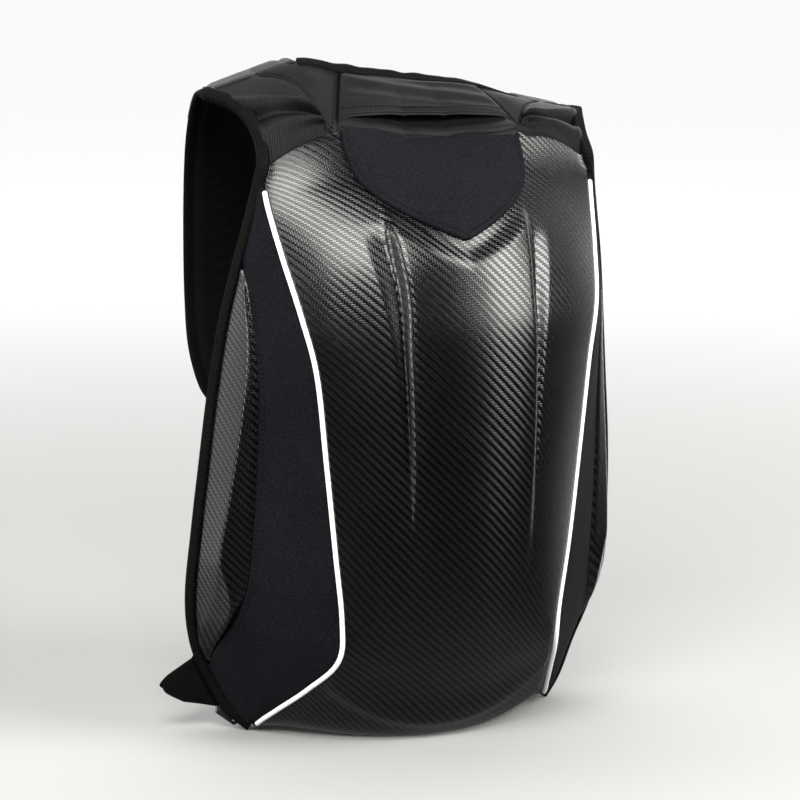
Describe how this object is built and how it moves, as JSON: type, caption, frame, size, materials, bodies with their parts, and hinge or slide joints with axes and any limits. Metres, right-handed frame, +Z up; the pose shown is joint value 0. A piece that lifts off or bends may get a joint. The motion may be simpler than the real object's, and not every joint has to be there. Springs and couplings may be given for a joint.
{
  "type": "motorcycle backpack",
  "caption": "Hard-shell motorcycle backpack with a moulded twill shell, neoprene sides, white piping, grab handle and padded shoulder straps, standing on its flat underside.",
  "frame": {"origin": "middle of the bounding box on the floor under the pack", "axes": "+Z up, the moulded shell faces -Y, the wearer's back is at +Y, +X to the right when looking at the shell"},
  "size_m": [0.355, 0.236, 0.4944],
  "materials": {
    "carbon_skin": "glossy embossed carbon-look twill",
    "neoprene": "matte fine-grained neoprene",
    "nylon_ribbed": "finely ribbed nylon",
    "nylon_plain": "plain woven nylon",
    "grosgrain": "ribbed woven tape",
    "reflective_piping": "white coated cord",
    "padding": "matte navy-black padded lining",
    "moulded_plastic": "satin moulded plastic"
  },
  "bodies": {
    "root": {"front_shell": "carbon_skin", "crest_patch": "neoprene", "back_panel": "padding", "yoke_centre": "nylon_plain", "grab_handle": "nylon_plain", "neck_binding": "grosgrain", "piping_left": "reflective_piping", "piping_right": "reflective_piping", "side_gusset_left": "neoprene", "side_gusset_right": "neoprene", "side_panel_left": "carbon_skin", "side_panel_right": "carbon_skin", "edge_binding_left": "grosgrain", "edge_binding_right": "grosgrain", "yoke_outer_left": "nylon_ribbed", "yoke_outer_right": "nylon_ribbed", "yoke_inner_left": "nylon_plain", "yoke_inner_right": "nylon_plain", "shoulder_strap_left": "padding", "shoulder_strap_right": "padding", "strap_webbing_left": "grosgrain", "strap_webbing_right": "grosgrain", "anchor_tab_left": "nylon_plain", "anchor_tab_right": "nylon_plain", "ladder_lock_left": "moulded_plastic", "ladder_lock_right": "moulded_plastic", "zip_slider_left": "moulded_plastic"}
  },
  "joints": []
}
